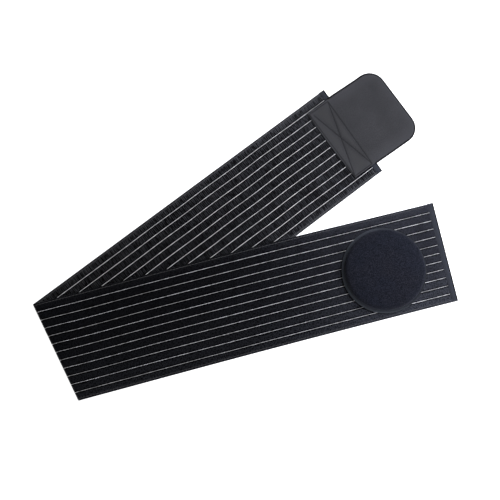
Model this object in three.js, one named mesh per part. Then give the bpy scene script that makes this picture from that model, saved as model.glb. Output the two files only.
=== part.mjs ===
// Umbilical hernia belt: a wide striped elastic band folded once and laid on a table, with a hook tab
// sewn to one end and a round compression pad on the other. Millimetres, +Z up, resting on z = 0.
import * as THREE from 'three';

const DEG = Math.PI / 180;

// Elastic band: two arms that leave the fold at different angles
const band = {
  width: 101.6,
  thickness: 1.8,
  padArm: 402.6,        // fold to the pad end, along the middle of the band
  tabArm: 374.4,        // fold to the tab end
  padArmAngle: 14.6,    // degrees from +X
  tabArmAngle: 37.33,
  padEndSkew: 1.93,     // how far each end is cut off square, degrees
  tabEndSkew: 2.58,
  padArmBow: 1.2,       // sideways bow of the pad arm at its middle
  rows: 12,             // facets across the width
};

// Fold and drape of the upper layer
const fold = {
  turnRadius: 2.2,      // of the middle of the cloth round the half turn
  settle: 50,           // length over which the loop closes down onto the lower layer
  layerGap: 0.4,        // between the two layers where they lie on each other
  edgeClear: 1.5,       // the upper layer stays level this far past the lower layer's edge
  drop: 34,             // and then comes down to the table over this length
  down: 310,            // along the pad arm, the whole width is down from here
};

// Tape folded over each cut end; the band is pressed thin inside it
const binding = {
  depth: 5,
  height: 3,
  wall: 0.8,
  tongueThickness: 0.8,
  mouthClear: 0.3,
  taper: 0.5,
  lift: 10,             // length over which the band rises into the tape
};

// Hook tab, in its own frame: x runs outwards from the belt's end
const tab = {
  width: 83.1,
  thickness: 1.6,
  inner: -27.4,
  outer: 57.7,
  cornerRadius: 16.5,
  turn: -1.55,          // degrees from the arm's own direction
  across: 0.15,
  rows: 10,
};
const seatClear = 0.3;
const overBand = band.thickness + seatClear;
const overBinding = binding.height + seatClear;
// Sections of the tab; steps counts the facets from the section before
const tabSections = [
  { x: tab.inner, underside: overBand, steps: 0 },
  { x: -17, underside: overBand, steps: 2 },
  { x: -7.5, underside: overBinding, steps: 4 },
  { x: 1.5, underside: overBinding, steps: 1 },
  { x: 22, underside: 0, steps: 6 },
  { x: tab.outer - tab.cornerRadius, underside: 0, steps: 2 },
  { x: tab.outer, underside: 0, steps: 8 },
];

// Round pad on the pad arm
const pad = {
  run: 336,             // fold to the pad's middle, along the arm
  across: -3.3,
  rimRadius: 43.3,
  rimWidth: 4.6,
  rimHeight: 3.2,
  rimFacets: 12,
  sides: 48,
  crownSteps: 12,
};
const cushionSections = [
  { radius: 38.6, height: 0 },
  { radius: 38.6, height: 3.7 },
  { radius: 40.4, height: 6.6 },
  { radius: 39.8, height: 9.4 },
  { radius: 36.2, height: 12.4 },
  { radius: 28, height: 14.4 },
  { radius: 14, height: 15.5 },
  { radius: 0, height: 15.8 },
];

const cloth = {
  elastic: { color: 0x1a1a1d, roughness: 0.9, metalness: 0 },
  tape: { color: 0x242427, roughness: 0.85, metalness: 0 },
  hookBacking: { color: 0x454548, roughness: 0.7, metalness: 0 },
  velvet: { color: 0x26272e, roughness: 0.95, metalness: 0 },
  rimTape: { color: 0x303338, roughness: 0.85, metalness: 0 },
};

const smooth = (t) => THREE.MathUtils.smoothstep(t, 0, 1);

function named(name, geometry, look) {
  geometry.computeVertexNormals();
  const mesh = new THREE.Mesh(geometry, new THREE.MeshStandardMaterial(look));
  mesh.name = name;
  return mesh;
}

// A plate of cols by rows cells, one cell thick, with each corner sent through a shape function.
// column is a whole number, across runs from -0.5 to 0.5, and side is -1 below and 1 above.
function shapedPlate(cols, rows, shape) {
  const geometry = new THREE.BoxGeometry(cols, 1, 2, cols, rows, 1);
  const corners = geometry.attributes.position;
  for (let i = 0; i < corners.count; i += 1) {
    const column = Math.round(corners.getX(i) + cols / 2);
    const point = shape(column, corners.getY(i), Math.sign(corners.getZ(i)));
    corners.setXYZ(i, point.x, point.y, point.z);
  }
  return geometry;
}

// Values at every step of a list of zones, each with its end and its number of steps
function stations(start, zones) {
  const values = [start];
  let from = start;
  for (const { to, steps } of zones) {
    for (let step = 1; step <= steps; step += 1) values.push(THREE.MathUtils.lerp(from, to, step / steps));
    from = to;
  }
  return values;
}

// The fold line is square to the line halfway between the arms
const halfAngle = ((band.tabArmAngle - band.padArmAngle) / 2) * DEG;
const middleAngle = ((band.tabArmAngle + band.padArmAngle) / 2) * DEG;
const direction = (angle) => new THREE.Vector3(Math.cos(angle), Math.sin(angle), 0);
const inward = direction(middleAngle);
const alongFold = direction(middleAngle + Math.PI / 2);
const tabArmAcross = direction(band.tabArmAngle * DEG + Math.PI / 2);

const halfTurn = (Math.PI * fold.turnRadius) / 2;
const floorLevel = band.thickness / 2;
const turnTop = floorLevel + 2 * fold.turnRadius;
const stackLevel = floorLevel + band.thickness + fold.layerGap;
const turnCentre = fold.turnRadius + band.thickness / 2;
const padSlope = Math.tan(band.padEndSkew * DEG);
const tabSlope = -Math.tan(band.tabEndSkew * DEG);
const foldSlope = -Math.tan(halfAngle);

// Distance from the cut end of the arm; run is positive on the pad arm and negative on the tab arm
function fromEnd(run, across) {
  if (run > 0) return band.padArm + across * padSlope - run;
  return band.tabArm - across * tabSlope + run;
}

// Middle of the cloth at a place on the unfolded band
function middleOfCloth(run, across) {
  const part = Math.max(run, 0) / band.padArm;
  const bowed = across + band.padArmBow * 4 * part * (1 - part);
  const past = run * Math.cos(halfAngle) + bowed * Math.sin(halfAngle);
  const beside = bowed * Math.cos(halfAngle) - run * Math.sin(halfAngle);
  const turned = (THREE.MathUtils.clamp(past, -halfTurn, halfTurn) + halfTurn) / fold.turnRadius;
  const beyond = Math.max(Math.abs(past) - halfTurn, 0);
  const point = new THREE.Vector3()
    .addScaledVector(inward, turnCentre - fold.turnRadius * Math.sin(turned) + beyond)
    .addScaledVector(alongFold, beside);
  point.z = floorLevel + fold.turnRadius * (1 - Math.cos(turned));
  if (past > halfTurn) {
    const loop = turnTop + (stackLevel - turnTop) * smooth(beyond / fold.settle);
    const outside = -point.dot(tabArmAcross) - band.width / 2 - fold.edgeClear;
    point.z = loop + (floorLevel - loop) * smooth(outside / fold.drop);
  }
  const risen = 1 - (fromEnd(run, across) - binding.depth) / binding.lift;
  point.z += (binding.height / 2 - floorLevel) * smooth(risen);
  return point;
}

function clothThickness(run, across) {
  const taperStart = binding.depth + binding.mouthClear + binding.taper;
  const pressed = smooth((taperStart - fromEnd(run, across)) / binding.taper);
  return THREE.MathUtils.lerp(band.thickness, binding.tongueThickness, pressed);
}

// Columns of facets run along the fold line near the fold and turn to the cut at each end
function columnSlope(run) {
  const [arm, endSlope] = run > 0 ? [band.padArm, padSlope] : [band.tabArm, tabSlope];
  const share = Math.max(Math.abs(run) - halfTurn, 0) / (arm - halfTurn);
  return THREE.MathUtils.lerp(foldSlope, endSlope, share);
}

function elasticBand() {
  const turnRun = halfTurn / Math.cos(halfAngle);
  const tip = binding.height / 2;
  const mouth = binding.depth + binding.mouthClear;
  const full = mouth + binding.taper;
  const level = full + binding.lift;
  const runs = stations(tip - band.tabArm, [
    { to: mouth - band.tabArm, steps: 1 },
    { to: full - band.tabArm, steps: 1 },
    { to: level - band.tabArm, steps: 4 },
    { to: -turnRun, steps: 16 },
    { to: turnRun, steps: 12 },
    { to: turnRun + fold.settle, steps: 8 },
    { to: fold.down, steps: 28 },
    { to: band.padArm - level, steps: 5 },
    { to: band.padArm - full, steps: 4 },
    { to: band.padArm - mouth, steps: 1 },
    { to: band.padArm - tip, steps: 1 },
  ]);
  return shapedPlate(runs.length - 1, band.rows, (column, share, side) => {
    const across = share * band.width;
    const run = runs[column] + across * columnSlope(runs[column]);
    const step = 0.05;    // to either side, for the slope of the cloth
    const lengthwise = middleOfCloth(run + step, across).sub(middleOfCloth(run - step, across));
    const crosswise = middleOfCloth(run, across + step).sub(middleOfCloth(run, across - step));
    const outwards = lengthwise.cross(crosswise).normalize();
    return middleOfCloth(run, across).addScaledVector(outwards, (side * clothThickness(run, across)) / 2);
  });
}

// U-shaped tape, its closed round edge at x = 0 and its mouth towards -x
function endBinding(skew) {
  const round = binding.height / 2;
  const hollow = round - binding.wall;
  const section = new THREE.Shape();
  section.moveTo(-binding.depth, 0);
  section.lineTo(-round, 0);
  section.absarc(-round, round, round, -Math.PI / 2, Math.PI / 2, false);
  section.lineTo(-binding.depth, binding.height);
  section.lineTo(-binding.depth, binding.height - binding.wall);
  section.lineTo(-round, binding.height - binding.wall);
  section.absarc(-round, round, hollow, Math.PI / 2, -Math.PI / 2, true);
  section.lineTo(-binding.depth, binding.wall);
  section.closePath();
  const length = band.width / Math.cos(skew * DEG);
  return new THREE.ExtrudeGeometry(section, { depth: length, bevelEnabled: false, curveSegments: 6 })
    .rotateX(Math.PI / 2)
    .translate(0, length / 2, 0)
    .rotateZ(-skew * DEG);
}

// Underside of the hook tab: level where sewn down, over the bound end, then down to the table
function tabUnderside(x) {
  const next = Math.max(tabSections.findIndex((section) => section.x >= x), 1);
  const [a, b] = [tabSections[next - 1], tabSections[next]];
  return THREE.MathUtils.lerp(a.underside, b.underside, smooth((x - a.x) / (b.x - a.x)));
}

function hookTab() {
  const zones = tabSections.slice(1).map(({ x, steps }) => ({ to: x, steps }));
  const places = stations(tab.inner, zones);
  const straight = tab.outer - tab.cornerRadius;
  return shapedPlate(places.length - 1, tab.rows, (column, share, side) => {
    const intoCorner = Math.max(places[column] - straight, 0) / tab.cornerRadius;
    const turned = (intoCorner * Math.PI) / 2;
    const x = Math.min(places[column], straight) + tab.cornerRadius * Math.sin(turned);
    const width = tab.width - 2 * tab.cornerRadius * (1 - Math.cos(turned));
    const z = tabUnderside(x) + (tab.thickness * (side + 1)) / 2;
    return new THREE.Vector3(x, share * width, z);
  });
}

// Rounded ring section, closed on itself
function padRim() {
  const middle = pad.rimRadius - pad.rimWidth / 2;
  const profile = Array.from({ length: pad.rimFacets + 1 }, (_, i) => {
    const turn = ((i % pad.rimFacets) / pad.rimFacets) * 2 * Math.PI - Math.PI / 2;
    return new THREE.Vector2(
      middle + (pad.rimWidth / 2) * Math.cos(turn),
      (pad.rimHeight / 2) * (1 + Math.sin(turn)),
    );
  });
  return new THREE.LatheGeometry(profile, pad.sides).rotateX(Math.PI / 2);
}

function padCushion() {
  const places = cushionSections.map(({ radius, height }) => new THREE.Vector2(radius, height));
  const dome = new THREE.SplineCurve(places.slice(1)).getPoints(pad.crownSteps);
  dome[pad.crownSteps].x = 0;
  const profile = [new THREE.Vector2(0, 0), places[0], ...dome];
  return new THREE.LatheGeometry(profile, pad.sides).rotateX(Math.PI / 2);
}

const padArm = new THREE.Group();
padArm.rotation.z = band.padArmAngle * DEG;
const padEnd = named('pad_end_binding', endBinding(band.padEndSkew), cloth.tape);
padEnd.position.x = band.padArm;
const padSeat = new THREE.Group();
padSeat.position.set(pad.run, pad.across, overBand);
padSeat.add(named('pad_rim', padRim(), cloth.rimTape), named('pad_cushion', padCushion(), cloth.velvet));
padArm.add(padEnd, padSeat);

const tabArm = new THREE.Group();
tabArm.rotation.z = band.tabArmAngle * DEG;
const tabEnd = named('tab_end_binding', endBinding(band.tabEndSkew), cloth.tape);
tabEnd.position.x = band.tabArm;
const hooks = named('hook_tab', hookTab(), cloth.hookBacking);
hooks.position.set(band.tabArm, tab.across, 0);
hooks.rotation.z = tab.turn * DEG;
tabArm.add(tabEnd, hooks);

const belt = new THREE.Group();
belt.add(named('elastic_band', elasticBand(), cloth.elastic), padArm, tabArm);

// The origin is under the middle of the belt's box
belt.updateMatrixWorld(true);
const middle = new THREE.Box3().setFromObject(belt, true).getCenter(new THREE.Vector3());
belt.position.set(-middle.x, -middle.y, 0);

export default belt;
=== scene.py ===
# Umbilical hernia belt, dressed for the render: striped elastic folded once, hook tab, round velvet pad
import math

import bmesh
import bpy
import numpy as np
from mathutils import Matrix, Vector


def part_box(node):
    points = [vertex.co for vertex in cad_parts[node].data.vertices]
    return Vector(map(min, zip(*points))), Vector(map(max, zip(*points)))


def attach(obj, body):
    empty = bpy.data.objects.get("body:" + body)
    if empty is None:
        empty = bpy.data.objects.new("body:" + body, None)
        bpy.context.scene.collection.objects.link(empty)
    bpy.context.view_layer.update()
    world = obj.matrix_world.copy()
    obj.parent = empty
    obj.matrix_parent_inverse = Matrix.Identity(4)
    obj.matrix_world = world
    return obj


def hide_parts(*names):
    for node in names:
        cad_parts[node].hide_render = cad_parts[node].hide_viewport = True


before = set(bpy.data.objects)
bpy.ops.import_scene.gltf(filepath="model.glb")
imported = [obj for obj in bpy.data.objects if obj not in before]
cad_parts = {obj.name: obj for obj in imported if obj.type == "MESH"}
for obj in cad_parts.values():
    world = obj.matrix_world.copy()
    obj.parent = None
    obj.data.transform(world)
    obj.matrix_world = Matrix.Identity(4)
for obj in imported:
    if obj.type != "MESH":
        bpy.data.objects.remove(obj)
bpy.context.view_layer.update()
scene = bpy.context.scene
mm = 0.001
fullTurn = 2 * math.pi
dice = np.random.default_rng(11)      # one seeded source for every irregularity
print("frame loaded,", len(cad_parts), "nodes")


# Small tools for meshes
def smoothStep(share):
    share = np.clip(share, 0.0, 1.0)
    return share * share * (3.0 - 2.0 * share)


def stations(start, zones):
    places = [start]
    for end, steps in zones:
        places.extend(np.linspace(places[-1], end, steps + 1)[1:])
    return np.array(places)


# Value at a place, eased from row to row of a table of places and values
def easedRow(table, place):
    places, values = np.array(table).T
    part = np.clip(np.searchsorted(places, place, side="right") - 1, 0, len(places) - 2)
    share = smoothStep((place - places[part]) / (places[part + 1] - places[part]))
    return values[part] + (values[part + 1] - values[part]) * share


def pointsOf(mesh):
    points = np.empty(len(mesh.vertices) * 3, np.float32)
    mesh.vertices.foreach_get("co", points)
    return points.reshape(-1, 3).astype(float)


def setPoints(mesh, points):
    mesh.vertices.foreach_set("co", np.asarray(points, np.float32).ravel())
    mesh.update()


def movedBy(matrix, points):
    turn = np.array(matrix.to_3x3())
    return points @ turn.T + np.array(matrix.translation)


# Which point is at each corner of the faces
def cornersOf(mesh):
    corners = np.empty(len(mesh.loops), np.int32)
    mesh.loops.foreach_get("vertex_index", corners)
    return corners


# A UV map in millimetres on the flat pattern, so that a weave follows the cloth
def mapPattern(mesh, along, across, around=0.0):
    corners = cornersOf(mesh)
    places = np.stack([along[corners], across[corners]], 1) / mm
    if around:                        # the faces that close a ring run on past its end
        face = places[:, 0].reshape(-1, 4)
        short = face.max(1, keepdims=True) - face > around / mm / 2
        places[:, 0] = (face + short * around / mm).ravel()
    mesh.uv_layers.new(name="pattern").uv.foreach_set("vector", places.astype(np.float32).ravel())


def addMeasure(mesh, name, values):
    mesh.attributes.new(name, "FLOAT", "POINT").data.foreach_set("value", values.astype(np.float32))


def linkPiece(name, mesh, materials):
    mesh.shade_smooth()
    for material in materials:
        mesh.materials.append(material)
    piece = bpy.data.objects.new(name, mesh)
    scene.collection.objects.link(piece)
    return piece


def newPiece(name, bm, *materials):
    mesh = bpy.data.meshes.new(name)
    bm.to_mesh(mesh)
    bm.free()
    return linkPiece(name, mesh, materials)


def settle(piece, slot, *nodes):
    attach(piece, "root")
    if nodes:
        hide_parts(*nodes)


# A closed slab of columns by rows cells; gives the piece with each point's column, row and side
def flatSlab(name, columns, rows, *materials):
    bm = bmesh.new()
    bmesh.ops.create_grid(bm, x_segments=columns, y_segments=rows, size=0.5)
    bmesh.ops.solidify(bm, geom=bm.faces[:], thickness=1.0)
    bmesh.ops.recalc_face_normals(bm, faces=bm.faces[:])
    piece = newPiece(name, bm, *materials)
    unit = pointsOf(piece.data)
    column = np.rint((unit[:, 0] + 0.5) * columns).astype(int)
    row = np.rint((unit[:, 1] + 0.5) * rows).astype(int)
    side = np.where(unit[:, 2] > -0.5, 1.0, -1.0)
    return piece, column, row, side


# Turns a profile once round the z axis
def spinRound(bm, steps, closeWithin):
    bmesh.ops.spin(bm, geom=bm.verts[:] + bm.edges[:], cent=(0, 0, 0), axis=(0, 0, 1), angle=fullTurn,
                   steps=steps, use_merge=True)
    bmesh.ops.remove_doubles(bm, verts=bm.verts[:], dist=closeWithin)
    bmesh.ops.recalc_face_normals(bm, faces=bm.faces[:])


# Many copies of one small closed form, joined in one mesh, each placed by its own matrix
def joinedCopies(name, form, matrices, material):
    one = np.array([v.co[:] for v in form.verts])
    faces = [[v.index for v in face.verts] for face in form.faces]
    form.free()
    places = np.array(matrices)
    points = np.einsum("nij,vj->nvi", places[:, :3, :3], one) + places[:, None, :3, 3]
    allFaces = [[i + copy * len(one) for i in face] for copy in range(len(places)) for face in faces]
    mesh = bpy.data.meshes.new(name)
    mesh.from_pydata(points.reshape(-1, 3), [], allFaces)
    return linkPiece(name, mesh, [material])


# Node tools
def addNode(tree, kind, **settings):
    node = tree.nodes.new(kind)
    for name, value in settings.items():
        setattr(node, name, value)
    return node


# Links a socket or sets a value; nodes and sockets know the tree that they are in
def plug(source, socket):
    if isinstance(source, bpy.types.NodeSocket):
        socket.id_data.links.new(source, socket)
    else:
        socket.default_value = source


def feed(node, **sources):
    for name, source in sources.items():
        plug(source, node.inputs[name.replace("_", " ")])


def calc(operation, *sources):
    tree = next(s.id_data for s in sources if isinstance(s, bpy.types.NodeSocket))
    node = addNode(tree, "ShaderNodeMath", operation=operation)
    for socket, source in zip(node.inputs, sources):
        plug(source, socket)
    return node.outputs[0]


def noiseAt(place, **settings):
    noise = addNode(place.id_data, "ShaderNodeTexNoise")
    feed(noise, Vector=place, **settings)
    return noise.outputs["Fac"]


def axesOf(place):
    apart = addNode(place.id_data, "ShaderNodeSeparateXYZ")
    feed(apart, Vector=place)
    return apart.outputs


def shareOf(value, low, high):
    ramp = addNode(value.id_data, "ShaderNodeMapRange")
    feed(ramp, Value=value, From_Min=low, From_Max=high)
    return ramp.outputs["Result"]


def measureOf(tree, name):
    return addNode(tree, "ShaderNodeAttribute", attribute_name=name).outputs["Fac"]


# A node group that gives a height and a tone, 0 to 1, at a place in millimetres
def newGroup(name, **inputs):
    tree = bpy.data.node_groups.new(name, "ShaderNodeTree")
    tree.interface.new_socket(name="Place", in_out="INPUT", socket_type="NodeSocketVector")
    for label, value in inputs.items():
        socket = tree.interface.new_socket(name=label.replace("_", " "), in_out="INPUT",
                                           socket_type="NodeSocketFloat")
        socket.default_value = value
    for label in ("Height", "Tone"):
        tree.interface.new_socket(name=label, in_out="OUTPUT", socket_type="NodeSocketFloat")
    return tree, tree.nodes.new("NodeGroupInput").outputs, tree.nodes.new("NodeGroupOutput").inputs


def useGroup(group, **sources):
    node = addNode(sources["Place"].id_data, "ShaderNodeGroup", node_tree=group)
    feed(node, **sources)
    return node.outputs


# Plain weave: warp and weft bumps, with slubs that wander
def makeWeaveGroup():
    tree, given, out = newGroup("plainWeave", Warp_Pitch=1.0, Weft_Pitch=1.0, Wander=0.2)
    place = given["Place"]
    axes = axesOf(place)
    stray = noiseAt(place, Scale=0.45, Detail=2.0)
    shift = calc("MULTIPLY", calc("SUBTRACT", stray, 0.5), given["Wander"])
    waves = []
    for axis, pitch in (("X", "Warp Pitch"), ("Y", "Weft Pitch")):
        turns = calc("DIVIDE", calc("ADD", axes[axis], shift), given[pitch])
        waves.append(calc("SINE", calc("MULTIPLY", turns, fullTurn)))
    woven = calc("MULTIPLY", waves[0], waves[1])
    plug(calc("MULTIPLY_ADD", woven, 0.5, 0.5), out["Height"])
    plug(noiseAt(place, Scale=0.16, Detail=5.0, Roughness=0.7), out["Tone"])
    return tree


# Loose fibres: fine fuzz in relief and soft patches in tone
def makeFuzzGroup():
    tree, given, out = newGroup("looseFibres", Fibre=0.5, Patch=8.0)
    for size, detail, result in (("Fibre", 3.0, "Height"), ("Patch", 4.0, "Tone")):
        scale = calc("DIVIDE", 1.0, given[size])
        plug(noiseAt(given["Place"], Scale=scale, Detail=detail), out[result])
    return tree


plainWeave = makeWeaveGroup()
looseFibres = makeFuzzGroup()


# A cloth material's start: its shader with the plain values
def newCloth(name, roughness, specular, shine=0.0, sheen=0.0, sheenRoughness=0.5, sheenTint=(1, 1, 1)):
    material = bpy.data.materials.new(name)
    material.use_nodes = True
    tree = material.node_tree
    feed(tree.nodes["Principled BSDF"], Roughness=roughness, Specular_IOR_Level=specular,
         Metallic=shine, Sheen_Weight=sheen, Sheen_Roughness=sheenRoughness, Sheen_Tint=(*sheenTint, 1))
    return material, tree


# Places in millimetres, on the flat pattern or in the object
def patternPlace(tree):
    return addNode(tree, "ShaderNodeUVMap", uv_map="pattern").outputs["UV"]


def objectPlace(tree):
    inMetres = addNode(tree, "ShaderNodeTexCoord").outputs["Object"]
    return scaledPlace(inMetres, (1 / mm, 1 / mm, 1 / mm))


def scaledPlace(place, scale):
    mapping = addNode(place.id_data, "ShaderNodeMapping")
    feed(mapping, Vector=place, Scale=scale)
    return mapping.outputs["Vector"]


# Colour between dark and light by a value that is stretched from low to high first
def tinted(value, low, high, dark, light):
    mix = addNode(value.id_data, "ShaderNodeMix", data_type="RGBA")
    plug(shareOf(value, low, high), mix.inputs["Factor"])
    for label, colour in (("A_Color", dark), ("B_Color", light)):
        socket = next(s for s in mix.inputs if s.identifier == label)
        plug((*colour, 1) if isinstance(colour, tuple) else colour, socket)
    return next(s for s in mix.outputs if s.identifier == "Result_Color")


def darker(colour, share):
    return tuple(share * c for c in colour)


# A cloth material's end: its colour and its relief
def finishCloth(material, colour, height, depth):
    tree = material.node_tree
    bump = addNode(tree, "ShaderNodeBump")
    feed(bump, Height=height, Distance=depth, Strength=1.0)
    feed(tree.nodes["Principled BSDF"], Base_Color=colour, Normal=bump.outputs["Normal"])
    return material


# The elastic, cut flat and folded once
belt = {
    "width": 101.6 * mm,
    "thickness": 1.8 * mm,
    "padArm": 402.6 * mm,             # fold to the pad end, along the middle
    "tabArm": 374.4 * mm,             # fold to the tab end
    "padArmAngle": math.radians(14.6),
    "tabArmAngle": math.radians(37.33),
    "padEndSkew": math.radians(1.93),
    "tabEndSkew": math.radians(2.58),
    "padArmBow": 1.2 * mm,
    "turnRadius": 2.2 * mm,           # middle of the cloth round the fold
    "settle": 50 * mm,                # the loop closes down over this length
    "layerGap": 0.4 * mm,
    "edgeClear": 1.5 * mm,            # stays level this far past the lower layer's edge
    "drop": 34 * mm,                  # then comes down to the table
    "tapeDepth": 5 * mm,
    "tapeHeight": 3 * mm,
    "tapeLift": 24 * mm,              # the cloth rises into the end tape over this length
    "tongue": 0.8 * mm,               # thickness inside the end tape
    "tongueStart": 5.3 * mm,
    "tongueEnd": 5.8 * mm,
    "edgeRound": 0.9 * mm,
    "edgeThin": 0.3,                  # share of the thickness left at the edge
    "edgeOver": 0.65 * mm,            # the overcast edges stand out this far
    "foldOver": 0.4 * mm,             # and the fold's turn this far
    "ribPitch": 3.68 * mm,
    "ribDepth": 0.24 * mm,
    "ribClear": 2.1 * mm,             # ribs grow to their height this far from a stripe
    "ribEdge": (1.4 * mm, 1.6 * mm),  # they start this far from the edge, and grow over this width
    "columns": 856,
    "edgeRows": (0.0, 0.2, 0.55, 1.0, 1.7, 3.0),      # millimetres in from the edge
    "laneRows": (0.0, 2.1, 6.45),                     # millimetres from a stripe
}
clothWander = [                       # run along the belt, and how far the cloth strays sideways there
    (-340 * mm, 0.0), (-285 * mm, 0.5 * mm), (-252 * mm, 0.1 * mm), (-213 * mm, 0.42 * mm),
    (-182 * mm, 0.2 * mm), (-150 * mm, 0.42 * mm), (-110 * mm, 0.05 * mm), (0.0, 0.0),
    (30 * mm, -0.35 * mm), (105 * mm, -0.05 * mm), (180 * mm, -0.27 * mm), (280 * mm, -0.15 * mm),
    (340 * mm, 0.0)]
wanderFade = {"padArm": 20 * mm, "tabArm": 9 * mm}    # the edges keep straight
pinstripes = {
    "count": 11,
    "pitch": 8.525 * mm,
    "offset": -0.25 * mm,             # the middle stripe from the middle of the band
    "height": 0.36 * mm,
    "proud": 0.12 * mm,               # how far the yarn stands above the cloth
    "ripple": 0.03 * mm,
    "bedShade": 1.6 * mm,                  # half width of the painted shade in the furrow that the yarn lies in
    "bedsWithin": 5.57,               # pitches from the middle; none lies along the edges
    "steps": 480,
    "foldSteps": 0.2,                 # share of the steps spent on the fold
    "nearFold": 18 * mm,              # its slanted turn lies within this run on both sides
}
outerYarn = {"width": 0.58 * mm, "dark": (0.64, 0.65, 0.66), "light": (0.975, 0.985, 0.99),
             "roughness": 0.45, "shine": 0.3}
innerYarn = {"width": 0.66 * mm, "dark": (0.21, 0.21, 0.22), "light": (0.84, 0.84, 0.87),
             "roughness": 0.32, "shine": 0.82}
outerFace = {
    "dark": (0.011, 0.0114, 0.0126),
    "light": (0.0365, 0.0376, 0.0418),
    "edge": (0.056, 0.057, 0.063),    # painted light: the paler tone along a long edge
    "paler": (0.0, 50.0),             # millimetres across the band, from the cloth's tone to the edge's
    "alsoPaler": (-36.0, -52.0),      # and towards the other edge, by a share
    "alsoShare": 0.8,
    "roughness": 0.29,
    "shine": 0.78,
    "stroke": 5.0,                    # brush marks this much longer across the band
    "depth": 0.1 * mm,
    "ribbed": True,
}
innerFace = {
    "dark": (0.0083, 0.0087, 0.011),
    "light": (0.0148, 0.0156, 0.0194),
    # painted light: the paler tone along a long edge
    "edge": (0.030, 0.032, 0.039),
    "paler": (20.0, -50.0),
    "alsoPaler": (36.0, 52.0),
    "alsoShare": 0.35,
    "roughness": 0.29,
    "shine": 0.9,
    "stroke": 1.6,
    "depth": 0.04 * mm,
    "ribbed": False,
}
width, thickness = belt["width"], belt["thickness"]
padArm, tabArm = belt["padArm"], belt["tabArm"]
padAngle, tabAngle = belt["padArmAngle"], belt["tabArmAngle"]
padSkew, tabSkew = belt["padEndSkew"], belt["tabEndSkew"]
padSlope, tabSlope = math.tan(padSkew), -math.tan(tabSkew)
turnRadius = belt["turnRadius"]
halfTurn = math.pi * turnRadius / 2
halfAngle, middleAngle = (tabAngle - padAngle) / 2, (tabAngle + padAngle) / 2
tapeMiddle = belt["tapeHeight"] / 2
stripePlaces = pinstripes["offset"] + pinstripes["pitch"] * (np.arange(pinstripes["count"]) - 5)


def heading(angle):
    return np.array([math.cos(angle), math.sin(angle), 0.0])


inward, alongFold = heading(middleAngle), heading(middleAngle + math.pi / 2)
tabArmAcross = heading(tabAngle + math.pi / 2)
halfFold = width / 2 / math.cos(halfAngle)
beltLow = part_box("elastic_band")[0]
foldMiddle = np.array([beltLow[0] + halfFold * math.sin(middleAngle),
                       beltLow[1] + halfFold * math.cos(middleAngle), 0.0])


# Distance from the cut end; run is positive on the pad arm and negative on the tab arm
def fromEnd(run, across):
    return np.where(run > 0, padArm + across * padSlope - run, tabArm - across * tabSlope + run)


def strayed(run, across):
    part = np.maximum(run, 0.0) / padArm
    fade = np.where(run > 0, wanderFade["padArm"], wanderFade["tabArm"])
    wander = easedRow(clothWander, run) * smoothStep((width / 2 - np.abs(across)) / fade)
    return across + belt["padArmBow"] * 4 * part * (1 - part) + wander


def middleOfCloth(run, across):
    b = belt
    bowed = strayed(run, across)
    past = run * math.cos(halfAngle) + bowed * math.sin(halfAngle)
    beside = bowed * math.cos(halfAngle) - run * math.sin(halfAngle)
    turned = (np.clip(past, -halfTurn, halfTurn) + halfTurn) / turnRadius
    beyond = np.maximum(np.abs(past) - halfTurn, 0.0)
    reach = turnRadius + thickness / 2 - (turnRadius + b["foldOver"]) * np.sin(turned) + beyond
    place = reach[:, None] * inward + beside[:, None] * alongFold
    floorLevel = thickness / 2
    onTurn = floorLevel + turnRadius * (1 - np.cos(turned))
    turnTop = floorLevel + 2 * turnRadius
    stackLevel = floorLevel + thickness + b["layerGap"]
    loop = turnTop + (stackLevel - turnTop) * smoothStep(beyond / b["settle"])
    outside = -place @ tabArmAcross - width / 2 - b["edgeClear"]
    draped = loop + (floorLevel - loop) * smoothStep(outside / b["drop"])
    risen = 1 - (fromEnd(run, across) - b["tapeDepth"]) / b["tapeLift"]
    place[:, 2] = np.where(past > halfTurn, draped, onTurn) + (tapeMiddle - floorLevel) * smoothStep(risen)
    return place + foldMiddle


# Lays flat pattern points, along and across the band and up from its middle, on the folded belt
def layOnBelt(run, across, lift):
    step = 0.05 * mm
    lengthwise = middleOfCloth(run + step, across) - middleOfCloth(run - step, across)
    crosswise = middleOfCloth(run, across + step) - middleOfCloth(run, across - step)
    outwards = np.cross(lengthwise, crosswise)
    outwards /= np.linalg.norm(outwards, axis=1)[:, None]
    return middleOfCloth(run, across) + lift[:, None] * outwards


# Cross ribs, counted along the band, and their strength; each lane between stripes has its own beat
def crossRibs(run, across):
    b = belt
    laneCount = pinstripes["count"] + 1
    ribCount = int((padArm + tabArm) / b["ribPitch"]) + 8
    beat = dice.random(laneCount)
    strength = 0.5 + 0.5 * dice.random((laneCount, ribCount))
    lane = np.floor((across - stripePlaces[0]) / pinstripes["pitch"]).astype(int) + 1
    lane = np.clip(lane, 0, laneCount - 1)
    turns = (run + tabArm) / b["ribPitch"] + 2 + beat[lane]
    toStripe = np.abs(across[:, None] - stripePlaces).min(1)
    toEdge = width / 2 - np.abs(across)
    inLane = smoothStep(toStripe / b["ribClear"]) * smoothStep((toEdge - b["ribEdge"][0]) / b["ribEdge"][1])
    return turns, strength[lane, turns.astype(int)] * inLane


def toYarn(across):
    pitch = pinstripes["pitch"] / mm
    across = calc("SUBTRACT", across, pinstripes["offset"] / mm)
    away = calc("PINGPONG", across, pitch / 2)
    pastLast = calc("SUBTRACT", calc("ABSOLUTE", across), pinstripes["bedsWithin"] * pitch)
    return calc("MAXIMUM", away, pastLast)


def towardsEdge(across, zone):
    return calc("POWER", shareOf(across, *zone), 2.0)
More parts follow.
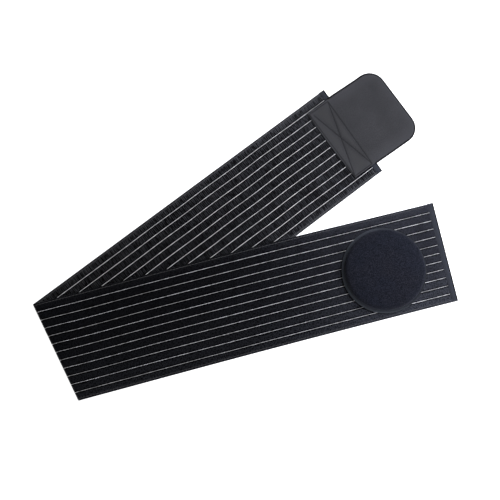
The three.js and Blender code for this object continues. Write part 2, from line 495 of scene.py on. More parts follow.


# Satin cloth: its shine is a share of its own dark colour, so furrows and hollows stay black. That black in
# the furrows and rib hollows is painted shade, and the paler tone towards the long edges is painted light
def makeElasticFace(name, face):
    material, tree = newCloth(name, face["roughness"], 0.0, face["shine"])
    place = patternPlace(tree)
    across = axesOf(place)["Y"]
    # painted light: the cloth's tone grows paler towards its long edges
    also = calc("MULTIPLY", towardsEdge(across, face["alsoPaler"]), face["alsoShare"])
    edgePaling = calc("MAXIMUM", towardsEdge(across, face["paler"]), also)
    weave = useGroup(plainWeave, Place=place, Warp_Pitch=1.1, Weft_Pitch=0.9, Wander=0.5)
    strokePlace = scaledPlace(place, (1.0, 1.0 / face["stroke"], 1.0))
    strokes = useGroup(looseFibres, Place=strokePlace, Fibre=1.1, Patch=14.0)
    black = darker(face["dark"], 0.06)
    cloth = tinted(weave["Tone"], 0.34, 0.66, face["dark"], face["light"])
    cloth = tinted(strokes["Tone"], 0.35, 0.65, cloth, face["light"])
    cloth = tinted(edgePaling, 0.0, 1.0, cloth, face["edge"])
    shade = tinted(strokes["Height"], 0.37, 0.58, darker(face["dark"], 0.45), cloth)
    # painted shade: black in the furrow beside each yarn
    bedShade = calc("DIVIDE", toYarn(across), pinstripes["bedShade"] / mm)
    shade = tinted(bedShade, 0.65, 1.0, black, shade)
    if face["ribbed"]:                # painted shade: a dark line in each hollow and a weaker one on each crown
        wave = calc("COSINE", calc("MULTIPLY", measureOf(tree, "ribTurns"), fullTurn))
        line = calc("MAXIMUM", calc("MULTIPLY_ADD", wave, -1.9, -0.45),
                    calc("MULTIPLY_ADD", wave, 2.6, -1.5))
        ribShade = calc("MULTIPLY", calc("MAXIMUM", line, 0.0), measureOf(tree, "ribStrength"))
        shade = tinted(ribShade, 0.0, 0.9, shade, black)
    height = calc("MULTIPLY_ADD", strokes["Height"], 1.5, weave["Height"])
    return finishCloth(material, shade, height, face["depth"])


def makePinstripeYarn(name, yarn):
    material, tree = newCloth(name, yarn["roughness"], 0.2, yarn["shine"])
    twist = useGroup(plainWeave, Place=patternPlace(tree), Warp_Pitch=1.5, Weft_Pitch=2.6, Wander=0.7)
    cloth = tinted(twist["Tone"], 0.43, 0.57, darker(yarn["light"], 0.45), yarn["light"])
    shade = tinted(twist["Height"], 0.1, 0.7, yarn["dark"], cloth)
    return finishCloth(material, shade, twist["Height"], 0.2 * mm)


def columnSlope(run):
    arm = np.where(run > 0, padArm, tabArm)
    endSlope = np.where(run > 0, padSlope, tabSlope)
    share = np.maximum(np.abs(run) - halfTurn, 0) / (arm - halfTurn)
    return -math.tan(halfAngle) * (1 - share) + endSlope * share


def makeElastic():
    b = belt
    runs = stations(tapeMiddle - tabArm, [
        (b["tongueStart"] - tabArm, 4), (b["tongueEnd"] - tabArm, 1),
        (padArm - b["tongueEnd"], b["columns"]),
        (padArm - b["tongueStart"], 1), (padArm - tapeMiddle, 4)])
    half = width / 2 + b["edgeOver"]
    edge = half - np.array(b["edgeRows"]) * mm
    lanes = (stripePlaces[:, None] + np.array(b["laneRows"]) * mm).ravel()
    outer = [stripePlaces[0] - b["ribClear"], stripePlaces[-1] + b["ribClear"]]
    rows = np.unique(np.concatenate([-edge, edge, lanes[:-2], outer]))
    piece, column, row, side = flatSlab("elastic_belt", len(runs) - 1, len(rows) - 1,
                                        makeElasticFace("elasticOuter", outerFace),
                                        makeElasticFace("elasticInner", innerFace))
    mesh = piece.data
    across = rows[row]
    run = runs[column] + across * columnSlope(runs[column])
    pressed = smoothStep((b["tongueEnd"] - fromEnd(run, across)) / (b["tongueEnd"] - b["tongueStart"]))
    toEdge = np.minimum((half - np.abs(across)) / b["edgeRound"], 1.0)
    rounded = b["edgeThin"] + (1 - b["edgeThin"]) * np.sqrt(1 - (1 - toEdge) ** 2)
    body = thickness - 2 * pinstripes["proud"]
    face = (body + (b["tongue"] - body) * pressed) * rounded / 2
    turns, strength = crossRibs(run, across)
    strength = strength * (1 - pressed) * (side < 0)
    hollow = (0.5 - 0.5 * np.cos(fullTurn * turns)) * strength
    setPoints(mesh, layOnBelt(run, across, side * (face - hollow * b["ribDepth"])))
    mapPattern(mesh, run, across)
    addMeasure(mesh, "ribTurns", turns)
    addMeasure(mesh, "ribStrength", strength)
    inner = side[cornersOf(mesh)].reshape(-1, 4).sum(1) > 3.5
    mesh.polygons.foreach_set("material_index", inner.astype(np.int32))
    return piece


# Pale yarn laid along each stripe: a flat cord per stripe, on the outer face for side -1
def makePinstripes(name, side, yarn, material):
    s = pinstripes
    bm = bmesh.new()
    apart = 10.0                      # flat spacing while the cords are made
    bmesh.ops.create_cone(bm, cap_ends=True, segments=6, radius1=0.5, radius2=0.5, depth=1.0)
    lengthwise = [e for e in bm.edges if abs(e.verts[0].co.z - e.verts[1].co.z) > 0.5]
    bmesh.ops.subdivide_edges(bm, edges=lengthwise, cuts=s["steps"] - 1, use_grid_fill=True)
    first = bm.verts[:] + bm.edges[:] + bm.faces[:]
    for stripe in range(1, s["count"]):
        copy = bmesh.ops.duplicate(bm, geom=first)["geom"]
        bmesh.ops.translate(bm, verts=[v for v in copy if isinstance(v, bmesh.types.BMVert)],
                            vec=(stripe * apart, 0, 0))
    piece = newPiece(name, bm, material)
    unit = pointsOf(piece.data)
    stripe = np.rint(unit[:, 0] / apart).astype(int)
    across = stripePlaces[stripe] + (unit[:, 0] - stripe * apart) * yarn["width"] * side
    stop = belt["tongueEnd"]
    start = -(tabArm - across * tabSlope - stop)
    end = padArm + across * padSlope - stop
    share = unit[:, 2] + 0.5
    bend, armSteps = s["nearFold"], (1 - s["foldSteps"]) / 2
    onTabArm = start - (start + bend) * share / armSteps
    onPadArm = end + (bend - end) * (1 - share) / armSteps
    onFold = bend * (share - 0.5) / (s["foldSteps"] / 2)
    onArm = np.where(share < 0.5, onTabArm, onPadArm)
    run = np.where(np.abs(share - 0.5) < s["foldSteps"] / 2, onFold, onArm)
    ripple = s["ripple"] * (np.sin(fullTurn * run / belt["ribPitch"] + 2.4 * stripe) - 1)
    lift = side * (thickness / 2 + (unit[:, 1] - 0.5) * s["height"] + ripple)
    setPoints(piece.data, layOnBelt(run, across, lift))
    mapPattern(piece.data, run, across)
    return piece


elastic = makeElastic()
settle(elastic, "elastic", "elastic_band")
stripes = [makePinstripes("pinstripes_outer", -1.0, outerYarn, makePinstripeYarn("yarnOuter", outerYarn)),
           makePinstripes("pinstripes_inner", 1.0, innerYarn, makePinstripeYarn("yarnInner", innerYarn))]
for piece in stripes:
    settle(piece, "elastic")
print("elastic laid,", len(elastic.data.polygons), "faces")


# A place on an arm of the belt: x runs outwards along the arm, from this length past the fold
def armFrame(angle, length, across=0.0, turn=0.0):
    return (Matrix.Translation(foldMiddle) @ Matrix.Rotation(angle, 4, "Z")
            @ Matrix.Translation((length, across, 0)) @ Matrix.Rotation(turn, 4, "Z"))


# One stitch is a long low bead of thread
def threadBead():
    bm = bmesh.new()
    bmesh.ops.create_uvsphere(bm, u_segments=6, v_segments=5, radius=1.0)
    return bm


def stitchPlace(start, end, radius):
    way = end - start
    lie = Matrix.Translation((start + end) / 2) @ way.to_track_quat("X", "Z").to_matrix().to_4x4()
    return lie @ Matrix.Diagonal((way.length / 2, radius, radius * 0.75, 1))


# Places of a row of stitches between two points of a surface, whose height is given by a function
def seamPlaces(frameHere, start, end, heightAt, thread):
    start, end = Vector(start), Vector(end)
    count = max(1, round((end - start).length / thread["pitch"]))
    places = []
    for i in range(count):
        ends = []
        for share in (i + thread["gap"] / 2, i + 1 - thread["gap"] / 2):
            flat = start.lerp(end, share / count)
            ends.append(frameHere @ Vector((flat.x, flat.y, heightAt(flat.x, flat.y))))
        places.append(stitchPlace(ends[0], ends[1], thread["radius"]))
    return places


def makeThread(name, dark, light):
    material, tree = newCloth(name, 0.7, 0.25)
    twist = useGroup(plainWeave, Place=objectPlace(tree), Warp_Pitch=0.6, Weft_Pitch=0.6, Wander=0.6)
    shade = tinted(twist["Height"], 0.0, 1.0, dark, light)
    return finishCloth(material, shade, twist["Height"], 0.1 * mm)


# Overcast thread along both long edges of the band, on both faces
selvedge = {
    "inset": 1.35 * mm,
    "pitch": 3.3 * mm,
    "length": 3.7 * mm,
    "radius": 0.26 * mm,
    "flat": 0.6,                      # share of its height that the thread keeps
    "sunk": 0.03 * mm,
    "slant": 0.06 * mm,
    "clear": 8.2 * mm,                # from the cut ends
    "dark": (0.045, 0.044, 0.046),
    "light": (0.10, 0.098, 0.10),
}


def makeSelvedge():
    s = selvedge
    reach = Vector((s["length"] / 2, s["slant"], 0))
    places = []
    for run in np.arange(-tabArm + s["clear"], padArm - s["clear"], s["pitch"]):
        for face in (-1, 1):
            for edge in (-1, 1):
                middle = Vector((run, edge * (width / 2 - s["inset"]), face))
                places.append(stitchPlace(middle - reach, middle + reach, s["radius"]))
    thread = makeThread("selvedgeThread", s["dark"], s["light"])
    piece = joinedCopies("selvedge_thread", threadBead(), places, thread)
    flat = pointsOf(piece.data)
    face = np.sign(flat[:, 2])
    bead = (flat[:, 2] - face) * s["flat"]
    lift = face * (thickness / 2 - pinstripes["proud"] - s["sunk"]) + bead
    setPoints(piece.data, layOnBelt(flat[:, 0], flat[:, 1], lift))
    return piece


settle(makeSelvedge(), "elastic")
print("selvedge sewn")

# Tape folded over each cut end and sewn through
endTape = {
    "depth": 6.2 * mm,
    "over": 0.35 * mm,                # stands this far past the cut end's place
    "height": 2.2 * mm,
    "wall": 0.4 * mm,
    "taper": 2.2 * mm,                # the tape's edges are pressed thin
    "thinBy": 0.7,
    "stitchAt": -4.4 * mm,
    "stitchClear": 1.0 * mm,          # from the tape's ends
    "dip": 0.1 * mm,                  # the seam pulls the tape in
    "threadLift": 0.03 * mm,          # the thread stands out of the dip
    "dipWidth": 0.8 * mm,
    "stepsAlong": 150,
    "dark": (0.028, 0.030, 0.037),
    "light": (0.038, 0.0405, 0.050),
    "hollow": (0.022, 0.0235, 0.029),
    "bend": (0.001, 0.001, 0.0012),   # painted shade: black round the bend
    "bendFrom": -1.25 * mm,
    "bendOver": 0.5 * mm,
}
tapeThread = {"pitch": 3.1 * mm, "gap": 0.18, "radius": 0.16 * mm}
darkThread = makeThread("darkThread", (0.005, 0.005, 0.006), (0.012, 0.012, 0.014))


def makeTapeCloth():
    t = endTape
    material, tree = newCloth("endTapeCloth", 0.4, 0.0, shine=0.5)
    weave = useGroup(plainWeave, Place=patternPlace(tree), Warp_Pitch=0.9, Weft_Pitch=0.7, Wander=0.3)
    cloth = tinted(weave["Tone"], 0.3, 0.7, t["dark"], t["light"])
    shade = tinted(weave["Height"], 0.0, 0.8, t["hollow"], cloth)
    # painted shade round the tape's bend
    shade = tinted(measureOf(tree, "tapeBendShade"), 0.0, 1.0, shade, t["bend"])
    return finishCloth(material, shade, weave["Height"], 0.1 * mm)


tapeCloth = makeTapeCloth()


def makeEndTape(name, frameHere, length):
    t = endTape
    bend = t["height"] / 2            # radius of the tape's outside round the cut end
    middle = bend - t["wall"] / 2
    straight = t["depth"] + t["over"] - bend
    path = stations(0.0, [(straight, 10), (straight + math.pi * middle, 10),
                          (2 * straight + math.pi * middle, 10)])
    piece, column, row, side = flatSlab(name, t["stepsAlong"], len(path) - 1, tapeCloth)
    y = (column / t["stepsAlong"] - 0.5) * length
    s = path[row]
    turned = np.clip((s - straight) / middle, 0.0, math.pi) - math.pi / 2
    past = np.maximum(s - straight - math.pi * middle, 0.0)
    before = np.maximum(straight - s, 0.0)
    x = t["over"] - bend + middle * np.cos(turned) - past - before
    z = tapeMiddle + middle * np.sin(turned)
    thinned = 1 - smoothStep(np.minimum(s, path[-1] - s) / t["taper"])
    beat = 0.65 + 0.35 * np.cos(fullTurn * y / tapeThread["pitch"])
    dip = t["dip"] * beat * np.exp(-((x - t["stitchAt"]) / t["dipWidth"]) ** 2)
    out = side * t["wall"] / 2 - (dip + t["thinBy"] * t["wall"] * thinned) * (side > 0)
    local = np.stack([x + out * np.cos(turned), y, z + out * np.sin(turned)], 1)
    setPoints(piece.data, movedBy(frameHere, local))
    mapPattern(piece.data, y, s)
    addMeasure(piece.data, "tapeBendShade", smoothStep((x - t["bendFrom"]) / t["bendOver"]))
    return piece


def makeTapeThread(name, frameHere, length):
    reach = length / 2 - endTape["stitchClear"]
    start, end = (endTape["stitchAt"], -reach, 0), (endTape["stitchAt"], reach, 0)
    lift = endTape["height"] / 2 - endTape["dip"] + endTape["threadLift"]
    places = []
    for level in (tapeMiddle - lift, tapeMiddle + lift):
        places += seamPlaces(frameHere, start, end, lambda x, y: level, tapeThread)
    return joinedCopies(name, threadBead(), places, darkThread)


for name, angle, arm, skew in (("pad_end", padAngle, padArm, padSkew),
                               ("tab_end", tabAngle, tabArm, tabSkew)):
    endFrame = armFrame(angle, arm, turn=-skew)
    length = (width + 2 * belt["edgeOver"]) / math.cos(skew)
    settle(makeEndTape(name + "_tape", endFrame, length), "end_tape", name + "_binding")
    settle(makeTapeThread(name + "_thread", endFrame, length), "end_tape")
print("end tapes folded")

# Hook tab: a grey cover over a black hook sheet, sewn to the band by a box and a cross
hookTab = {
    "width": 83.1 * mm,
    "inner": -28.2 * mm,
    "innerBow": 1.3 * mm,
    "bowFade": 12 * mm,
    "outer": 58.2 * mm,
    "corner": 16.5 * mm,
    "turn": math.radians(-1.55),
    "across": -0.1 * mm,
    "thickness": 1.6 * mm,
    "coverFrom": 0.75 * mm,           # heights above the tab's underside
    "sheetFrom": 0.45 * mm,
    "coverInsets": (0.5 * mm, 1.05 * mm),     # over the band, and past its end
    "sheetInsets": (0.8 * mm, -0.6 * mm),     # past the end the black sheet shows as a thin line; partly the sheet's own black, partly painted shade of the tab's edge
    "insetFrom": -3.5 * mm,           # where the inset starts to change, and over which length
    "insetOver": 3 * mm,
    "coverStep": 0.8 * mm,
    "sheetStep": 2.0 * mm,
    "sewnFiner": 1.6,                 # more steps where it is sewn
    "edgeRound": 0.5 * mm,
    "edgeThin": 0.35,                 # share of a layer's thickness left at its edge
    "groove": 0.3 * mm,
    "grooveWidth": 0.48 * mm,
    "pillow": 0.1 * mm,
    "pillowWidth": 5 * mm,
    "sewnFade": 6 * mm,
    "sway": 0.1 * mm,                 # the free part isn't quite flat
    "tuck": 0.55 * mm,                # the inner edge is pressed down on the band
    "tuckWidth": 0.9 * mm,
    "edgePaling": 16 * mm,                  # the cover is paler this near its edges
    "dark": (0.0255, 0.0255, 0.0297),
    "light": (0.036, 0.036, 0.0415),
    "fuzzDark": (0.010, 0.010, 0.0117),
    "edgePalingTone": (0.042, 0.042, 0.0485),
    # painted light on the plump cloth between the seams
    "pillowLightTone": (0.040, 0.040, 0.042),
    "seamTone": (0.014, 0.014, 0.015),
}
tabUndersides = [                     # along the tab, and the height of its underside
    (hookTab["inner"] - hookTab["innerBow"], 1.6 * mm), (-24 * mm, 1.8 * mm), (-5 * mm, 3.3 * mm),
    (1.5 * mm, 3.3 * mm), (34 * mm, 0.0), (hookTab["outer"], 0.0)]
seamCorners = {
    "endLeft": (-3.9 * mm, 39.0 * mm), "endRight": (-5.7 * mm, -39.6 * mm),
    "innerLeft": (-27.4 * mm, 39.2 * mm), "innerRight": (-27.5 * mm, -39.6 * mm),
    "crossLeft": (-24.0 * mm, 35.5 * mm)}
tabSeams = [("innerLeft", "innerRight"), ("endLeft", "endRight"), ("innerLeft", "endLeft"),
            ("innerRight", "endRight"), ("endLeft", "innerRight"), ("crossLeft", "endRight")]
tabThread = {"pitch": 3.0 * mm, "gap": 0.14, "radius": 0.26 * mm}
tabFrame = armFrame(tabAngle, tabArm, hookTab["across"], hookTab["turn"])
tabStraight = hookTab["outer"] - hookTab["corner"]


def tabUnderside(x):
    return easedRow(tabUndersides, x)


def toSeams(x, y):
    nearest = np.full(np.shape(x), 1.0)
    place = np.stack([x, y], -1)
    for first, last in tabSeams:
        start = np.array(seamCorners[first])
        way = np.array(seamCorners[last]) - start
        share = np.clip((place - start) @ way / (way @ way), 0.0, 1.0)
        nearest = np.minimum(nearest, np.linalg.norm(place - start - share[..., None] * way, axis=-1))
    return nearest


# Height of the cover: pulled down along the seams and plump between them
def coverTop(x, y):
    h = hookTab
    x, y = np.asarray(x, float), np.asarray(y, float)
    away = toSeams(x, y)
    sewn = smoothStep((2 * mm - x) / h["sewnFade"])
    plump = h["pillow"] * sewn * smoothStep(away / h["pillowWidth"])
    groove = h["groove"] * np.exp(-(away / h["grooveWidth"]) ** 2)
    sway = h["sway"] * np.sin(x / (9 * mm) + 0.6) * np.sin(y / (13 * mm) + 1.1) * (1 - sewn)
    innerEdge = h["inner"] - h["innerBow"] * (1 - 4 * (y / h["width"]) ** 2)
    tuck = h["tuck"] * (1 - smoothStep((x - innerEdge) / h["tuckWidth"]))
    return tabUnderside(x) + h["thickness"] + plump - groove + sway - tuck


# Outline of the tab: straight sides, then a quarter turn into each outer corner
def tabOutline(place, share, inset):
    h = hookTab
    corner = h["corner"] - inset
    turned = np.maximum(place - tabStraight, 0.0) / h["corner"] * math.pi / 2
    x = np.minimum(place, tabStraight) + corner * np.sin(turned)
    y = share * (h["width"] - 2 * inset - 2 * corner * (1 - np.cos(turned)))
    bowed = h["innerBow"] * (1 - 4 * share ** 2)
    return x - bowed * (1 - smoothStep((place - h["inner"]) / h["bowFade"])), y


def tabPlaces(step):
    h = hookTab
    finest, half = h["edgeRound"], h["width"] / 2
    places = stations(h["inner"], [
        (h["inner"] + finest, 2), (0.0, round(-h["inner"] / step * h["sewnFiner"])),
        (tabStraight, round(tabStraight / step)),
        (h["outer"] - finest, round(h["corner"] / step)), (h["outer"], 2)])
    rows = stations(-half, [(finest - half, 2), (half - finest, round(h["width"] / step)), (half, 2)])
    return places, rows / h["width"]


def makeTabLayer(name, material, insets, step, top, bottom):
    h = hookTab
    places, rows = tabPlaces(step)
    piece, column, row, side = flatSlab(name, len(places) - 1, len(rows) - 1, material)
    place, share = places[column], rows[row]
    inset = insets[0] + (insets[1] - insets[0]) * smoothStep((place - h["insetFrom"]) / h["insetOver"])
    x, y = tabOutline(place, share, inset)
    toEnd = np.minimum(place - h["inner"], h["outer"] - place)
    toEdge = np.minimum(toEnd, (0.5 - np.abs(share)) * h["width"])
    rounded = np.sqrt(1 - (1 - np.minimum(toEdge / h["edgeRound"], 1.0)) ** 2)
    low, high = bottom(x, y), top(x, y)
    half = (high - low) / 2 * (h["edgeThin"] + (1 - h["edgeThin"]) * rounded)
    setPoints(piece.data, movedBy(tabFrame, np.stack([x, y, (low + high) / 2 + side * half], 1)))
    mapPattern(piece.data, x, y)
    away = toSeams(x, y)
    between = smoothStep(away / h["pillowWidth"]) * smoothStep(-x / h["sewnFade"])
    addMeasure(piece.data, "seamShade", np.exp(-(away / h["grooveWidth"]) ** 2))
    # painted light: the plump cloth between the seams is paler
    addMeasure(piece.data, "pillowLight", between)
    addMeasure(piece.data, "edgePaling", 1 - smoothStep(toEdge / h["edgePaling"]))
    return piece


def makeCoverCloth():
    h = hookTab
    material, tree = newCloth("tabCoverCloth", 0.62, 0.15)
    place = patternPlace(tree)
    weave = useGroup(plainWeave, Place=place, Warp_Pitch=0.55, Weft_Pitch=0.55, Wander=0.3)
    fuzz = useGroup(looseFibres, Place=place, Fibre=0.9, Patch=16.0)
    cloth = tinted(fuzz["Tone"], 0.35, 0.65, h["dark"], h["light"])
    shade = tinted(fuzz["Height"], 0.38, 0.6, h["fuzzDark"], cloth)
    shade = tinted(measureOf(tree, "edgePaling"), 0.0, 1.4, shade, h["edgePalingTone"])
    # painted light between the seams
    shade = tinted(measureOf(tree, "pillowLight"), -0.6, 1.2, shade, h["pillowLightTone"])
    shade = tinted(measureOf(tree, "seamShade"), 0.1, 0.9, shade, h["seamTone"])
    height = calc("MULTIPLY_ADD", fuzz["Height"], 0.5, weave["Height"])
    return finishCloth(material, shade, height, 0.08 * mm)


hookField = {
    "pitch": 1.9 * mm,
    "rowShare": 0.9,                  # rows stand closer than the hooks in a row
    "radius": 0.17 * mm,
    "lean": math.radians(68),         # of the bent tip
    "from": 4 * mm,
    "inset": 1.6 * mm,
    "dark": (0.002, 0.002, 0.003),
    "light": (0.005, 0.005, 0.006),
}


def makeHookNylon():
    material, tree = newCloth("hookNylon", 0.6, 0.08)
    fuzz = useGroup(looseFibres, Place=objectPlace(tree), Fibre=0.4, Patch=6.0)
    shade = tinted(fuzz["Tone"], 0.3, 0.7, hookField["dark"], hookField["light"])
    return finishCloth(material, shade, fuzz["Height"], 0.05 * mm)


hookNylon = makeHookNylon()


# One hook hangs from the sheet: a stem and a bent tip
def bentHook(radius, height):
    stem = Matrix.Translation((0, 0, -height * 0.4))
    tip = Matrix.Translation((radius * 1.3, 0, -height * 0.58)) @ Matrix.Rotation(hookField["lean"], 4, "Y")
    bm = bmesh.new()
    bmesh.ops.create_cone(bm, cap_ends=True, segments=4, radius1=radius * 0.7, radius2=radius,
                          depth=height * 0.95, matrix=stem)
    bmesh.ops.create_cone(bm, cap_ends=True, segments=4, radius1=radius * 0.75, radius2=radius * 0.5,
                          depth=height * 0.75, matrix=tip)
    bm.verts.index_update()
    return bm


# Rows of hooks under the free part of the tab, every second row shifted
def makeHooks():
    h = hookField
    height = hookTab["sheetFrom"]
    corner = hookTab["corner"] - h["inset"]
    places = []
    for i, x in enumerate(np.arange(h["from"], hookTab["outer"] - h["inset"], h["pitch"] * h["rowShare"])):
        intoCorner = min(max(x - tabStraight, 0.0) / corner, 1.0)
        reach = hookTab["width"] / 2 - h["inset"] - corner * (1 - math.sqrt(1 - intoCorner ** 2))
        for y in np.arange(-reach + (i % 2) * h["pitch"] / 2, reach, h["pitch"]):
            places.append(tabFrame @ Matrix.Translation((x, y, float(tabUnderside(x)) + height)))
    return joinedCopies("hook_field", bentHook(h["radius"], height), places, hookNylon)


def threadLevel(x, y):
    return float(coverTop(x, y)) + tabThread["radius"] * 0.25


def makeTabThread():
    places = []
    for first, last in tabSeams:
        start, end = (*seamCorners[first], 0), (*seamCorners[last], 0)
        places += seamPlaces(tabFrame, start, end, threadLevel, tabThread)
    return joinedCopies("tab_thread", threadBead(), places, darkThread)


def sheetLevel(offset):
    return lambda x, y: tabUnderside(x) + offset


tabCover = makeTabLayer("tab_cover", makeCoverCloth(), hookTab["coverInsets"], hookTab["coverStep"],
                        coverTop, sheetLevel(hookTab["coverFrom"]))
hookSheet = makeTabLayer("hook_sheet", hookNylon, hookTab["sheetInsets"], hookTab["sheetStep"],
                         sheetLevel(hookTab["coverFrom"]), sheetLevel(hookTab["sheetFrom"]))
settle(tabCover, "hook_backing", "hook_tab")
for piece in (hookSheet, makeHooks(), makeTabThread()):
    settle(piece, "hook_backing")
print("hook tab sewn on")

# Round pad: a stuffed velvet cushion inside a bound rim
roundPad = {
    "run": 336 * mm,
    "across": -3.3 * mm,
    "seat": 2.1 * mm,
    "rimRadius": 43.3 * mm,
    "rimWidth": 4.6 * mm,
    "rimHeight": 3.2 * mm,
    "rimSteps": 144,
    "rimPucker": 0.10 * mm,
    "puckers": 52,
    "cushionSteps": 72,
    "slack": 0.9 * mm,                # the crown starts this much lower and swells up
    "voxel": 1.6 * mm,
    "softened": 4,
    "pressure": 10.0,
    "clothMass": 0.0004,              # of each point, as light cloth has
    "frames": 20,
    "cap": 1.0 * mm,
    "held": 2.0 * mm,                 # the cushion is held inside the rim up to this height
    "velvetDark": (0.0195, 0.022, 0.0345),
    "velvetLight": (0.0265, 0.026, 0.0355),
    "napDark": (0.012, 0.013, 0.020),
    "pileDark": (0.002, 0.003, 0.005),
    "sheenTint": (0.75, 0.8, 1.0),
    "rimDark": (0.013, 0.0145, 0.018),
    "rimLight": (0.0185, 0.0205, 0.0255),
    "rimFoldSideLight": (0.061, 0.069, 0.084),       # painted light: paler towards the fold, on the side that the cushion shades
    "rimHollow": (0.012, 0.013, 0.016),
}
cushionSections = [                   # radius and height above the seat
    (38.6 * mm, 0.0), (38.8 * mm, 2.0 * mm), (40.0 * mm, 3.6 * mm), (41.1 * mm, 6.5 * mm),
    (41.2 * mm, 9.5 * mm), (38.3 * mm, 12.6 * mm), (29 * mm, 14.6 * mm), (14 * mm, 15.6 * mm),
    (0.0, 15.8 * mm)]
padFrame = (Matrix.Translation((0, 0, roundPad["seat"]))
            @ armFrame(padAngle, roundPad["run"], roundPad["across"]))


def makeVelvet():
    p = roundPad
    material, tree = newCloth("padVelvet", 0.95, 0.08, sheen=0.08, sheenRoughness=0.45,
                              sheenTint=p["sheenTint"])
    place = objectPlace(tree)
    pile = useGroup(looseFibres, Place=place, Fibre=0.65, Patch=10.0)
    brushed = useGroup(looseFibres, Place=place, Fibre=1.6, Patch=30.0)
    cloth = tinted(brushed["Tone"], 0.38, 0.62, p["velvetDark"], p["velvetLight"])
    nap = tinted(brushed["Height"], 0.35, 0.65, p["napDark"], cloth)
    shade = tinted(pile["Height"], 0.38, 0.62, p["pileDark"], nap)
    height = calc("MULTIPLY_ADD", brushed["Height"], 0.6, pile["Height"])
    return finishCloth(material, shade, height, 0.4 * mm)


def makeRimCloth():
    p = roundPad
    material, tree = newCloth("rimTapeCloth", 0.85, 0.1, sheen=0.04, sheenRoughness=0.4)
    weave = useGroup(plainWeave, Place=patternPlace(tree), Warp_Pitch=0.8, Weft_Pitch=0.6, Wander=0.3)
    cloth = tinted(weave["Tone"], 0.3, 0.7, p["rimDark"], p["rimLight"])
    # painted light on the rim's side towards the fold
    cloth = tinted(measureOf(tree, "foldSideLight"), 0.0, 1.0, cloth, p["rimFoldSideLight"])
    shade = tinted(weave["Height"], -0.8, 0.8, p["rimHollow"], cloth)
    return finishCloth(material, shade, weave["Height"], 0.15 * mm)


# Binding round the foot of the pad, gathered a little where it takes the curve
def makeRim():
    p = roundPad
    bm = bmesh.new()
    middle = p["rimRadius"] - p["rimWidth"] / 2
    ring = bmesh.ops.create_circle(bm, cap_ends=False, segments=20, radius=1.0)["verts"]
    shape = (Matrix.Translation((middle, 0, p["rimHeight"] / 2)) @ Matrix.Rotation(math.pi / 2, 4, "X")
             @ Matrix.Diagonal((p["rimWidth"] / 2, p["rimHeight"] / 2, 1, 1)))
    for vert in ring:                 # flattened on top, as a folded tape is
        vert.co.x, vert.co.y = (math.copysign(abs(c) ** 0.8, c) for c in vert.co[:2])
    bmesh.ops.transform(bm, matrix=shape, verts=ring)
    spinRound(bm, p["rimSteps"], 0.001 * mm)
    piece = newPiece("pad_rim_tape", bm, makeRimCloth())
    local = pointsOf(piece.data)
    angle = np.arctan2(local[:, 1], local[:, 0])
    out = np.linalg.norm(local[:, :2], axis=1)
    section = np.arctan2(local[:, 2] - p["rimHeight"] / 2, out - middle)
    ripple = np.cos(p["puckers"] * angle + 1.3 * np.sin(5 * angle)) * (0.6 + 0.4 * np.sin(3 * angle + 0.7))
    pull = p["rimPucker"] * (ripple - 1.0) * np.clip(np.cos(section - 1.2), 0.0, 1.0)
    local[:, 0] += pull * np.cos(angle) * np.cos(section)
    local[:, 1] += pull * np.sin(angle) * np.cos(section)
    local[:, 2] += pull * np.sin(section)
    setPoints(piece.data, movedBy(padFrame, local))
    mapPattern(piece.data, angle * middle, section * p["rimWidth"] / 2, around=fullTurn * middle)
    # painted light: the rim is paler on its side towards the fold
    addMeasure(piece.data, "foldSideLight", smoothStep(0.68 - 0.78 * np.cos(angle)))
    return piece


# The cushion before it is stuffed: a turned form a little lower than the pad
def turnedCushion():
    bm = bmesh.new()
    crown = cushionSections[-1][1]
    profile = [bm.verts.new((0, 0, 0))]
    for radius, height in cushionSections:
        profile.append(bm.verts.new((radius, 0, height * (1 - roundPad["slack"] / crown))))
    edges = [bm.edges.new(pair) for pair in zip(profile, profile[1:])]
    bmesh.ops.subdivide_edges(bm, edges=edges, cuts=3)
    spinRound(bm, roundPad["cushionSteps"], 0.01 * mm)
    return newPiece("pad_cushion_cloth", bm)


def finalMesh(piece):
    return bpy.data.meshes.new_from_object(piece.evaluated_get(bpy.context.evaluated_depsgraph_get()))


# Blows the cushion up as light cloth that is held at its foot; gives its new points
def stuffCushion(piece):
    p = roundPad
    remesh = piece.modifiers.new("even", "REMESH")
    remesh.mode = "VOXEL"
    remesh.voxel_size = p["voxel"]
    piece.modifiers.new("soften", "SMOOTH").iterations = p["softened"]
    piece.data = finalMesh(piece)
    piece.modifiers.clear()
    before = pointsOf(piece.data)
    held = piece.vertex_groups.new(name="held")
    held.add([int(i) for i in np.flatnonzero(before[:, 2] < p["held"])], 1.0, "REPLACE")
    cloth = piece.modifiers.new("stuffing", "CLOTH").settings
    cloth.use_pressure = True
    cloth.uniform_pressure_force = p["pressure"]
    cloth.mass = p["clothMass"]
    cloth.effector_weights.gravity = 0
    cloth.vertex_group_mass = "held"
    for frameNumber in range(1, p["frames"] + 1):
        scene.frame_set(frameNumber)
    after = pointsOf(finalMesh(piece))
    piece.modifiers.clear()
    piece.vertex_groups.clear()
    scene.frame_set(1)
    moved = after - before
    far = np.linalg.norm(moved, axis=1)
    print("cushion swelled by up to %.2f mm, capped at %.2f" % (far.max() / mm, p["cap"] / mm))
    return before + moved * np.minimum(1.0, p["cap"] / np.maximum(far, 1e-9))[:, None]


def makeCushion():
    piece = turnedCushion()
    stuffed = stuffCushion(piece)
    setPoints(piece.data, movedBy(padFrame, stuffed))
    piece.data.materials.append(makeVelvet())
    piece.data.shade_smooth()
    rounding = piece.modifiers.new("rounding", "SUBSURF")
    rounding.levels = rounding.render_levels = 1
    return piece


cushion = makeCushion()
settle(cushion, "velvet", "pad_cushion")
settle(makeRim(), "rim_tape", "pad_rim")
print("pad stuffed and bound")

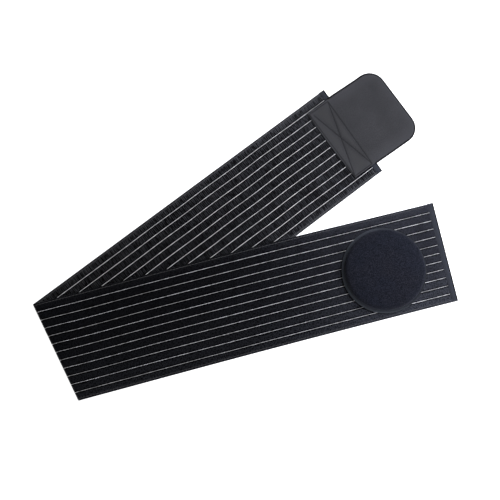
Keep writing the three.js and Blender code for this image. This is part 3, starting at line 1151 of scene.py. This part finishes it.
# Floor, light and camera
studio = {
    "floorSize": 40.0,
    "floorDrop": 0.02 * mm,
    "floorColour": (0.9, 0.9, 0.9),
    "floorGlow": 0.92,
    "aim": (0.06, 0.02, 0.0),
    "keyPlace": (0.36, 0.17, 0.37),
    "keySize": 0.5,
    "keyPower": 3.3,
    "fillPlace": (0.34, -0.36, 0.38),
    "fillSize": 0.5,
    "fillPower": 1.3,
    "lightColour": (0.96, 0.98, 1.07),
    "roomLight": 0.3,
    "roomColour": (1.0, 0.99, 0.94),
}
lens = {
    "focal": 86.4,
    "sensor": 36.0,
    "aim": Vector((2.0417, -18.2769, 0.0)) * mm,
    "distance": 1203.896 * mm,
    "turn": math.radians(-25.706),
    "tilt": math.radians(10.381),
    "roll": math.radians(25.60),
}


def makeFloor():
    bm = bmesh.new()
    bmesh.ops.create_grid(bm, x_segments=1, y_segments=1, size=studio["floorSize"] / 2)
    material, tree = newCloth("floorPale", 0.9, 0.1)
    feed(tree.nodes["Principled BSDF"], Base_Color=(*studio["floorColour"], 1),
         Emission_Color=(1, 1, 1, 1), Emission_Strength=studio["floorGlow"])
    floor = newPiece("floor", bm, material)
    floor.location.z = -studio["floorDrop"]


def makeLight(name):
    data = bpy.data.lights.new(name, "AREA")
    data.shape = "DISK"
    data.size = studio[name + "Size"]
    data.energy = studio[name + "Power"]
    data.color = studio["lightColour"]
    light = bpy.data.objects.new(name, data)
    place = Vector(studio[name + "Place"])
    facing = (place - Vector(studio["aim"])).to_track_quat("Z", "Y")
    light.matrix_world = Matrix.Translation(place) @ facing.to_matrix().to_4x4()
    scene.collection.objects.link(light)


def makeRoom():
    world = bpy.data.worlds.new("room")
    world.use_nodes = True
    feed(world.node_tree.nodes["Background"], Color=(*studio["roomColour"], 1),
         Strength=studio["roomLight"])
    scene.world = world
    scene.view_settings.view_transform = "Standard"


def makeCamera():
    data = bpy.data.cameras.new("camera")
    data.lens = lens["focal"]
    data.sensor_width = lens["sensor"]
    camera = bpy.data.objects.new("camera", data)
    turned = (Matrix.Rotation(lens["turn"], 4, "Z") @ Matrix.Rotation(lens["tilt"], 4, "X")
              @ Matrix.Rotation(lens["roll"], 4, "Z"))
    back = turned.to_3x3() @ Vector((0, 0, 1))
    camera.matrix_world = Matrix.Translation(lens["aim"] + back * lens["distance"]) @ turned
    scene.collection.objects.link(camera)
    scene.camera = camera


makeFloor()
makeLight("key")
makeLight("fill")
makeRoom()
makeCamera()
print("floor, light and camera set")
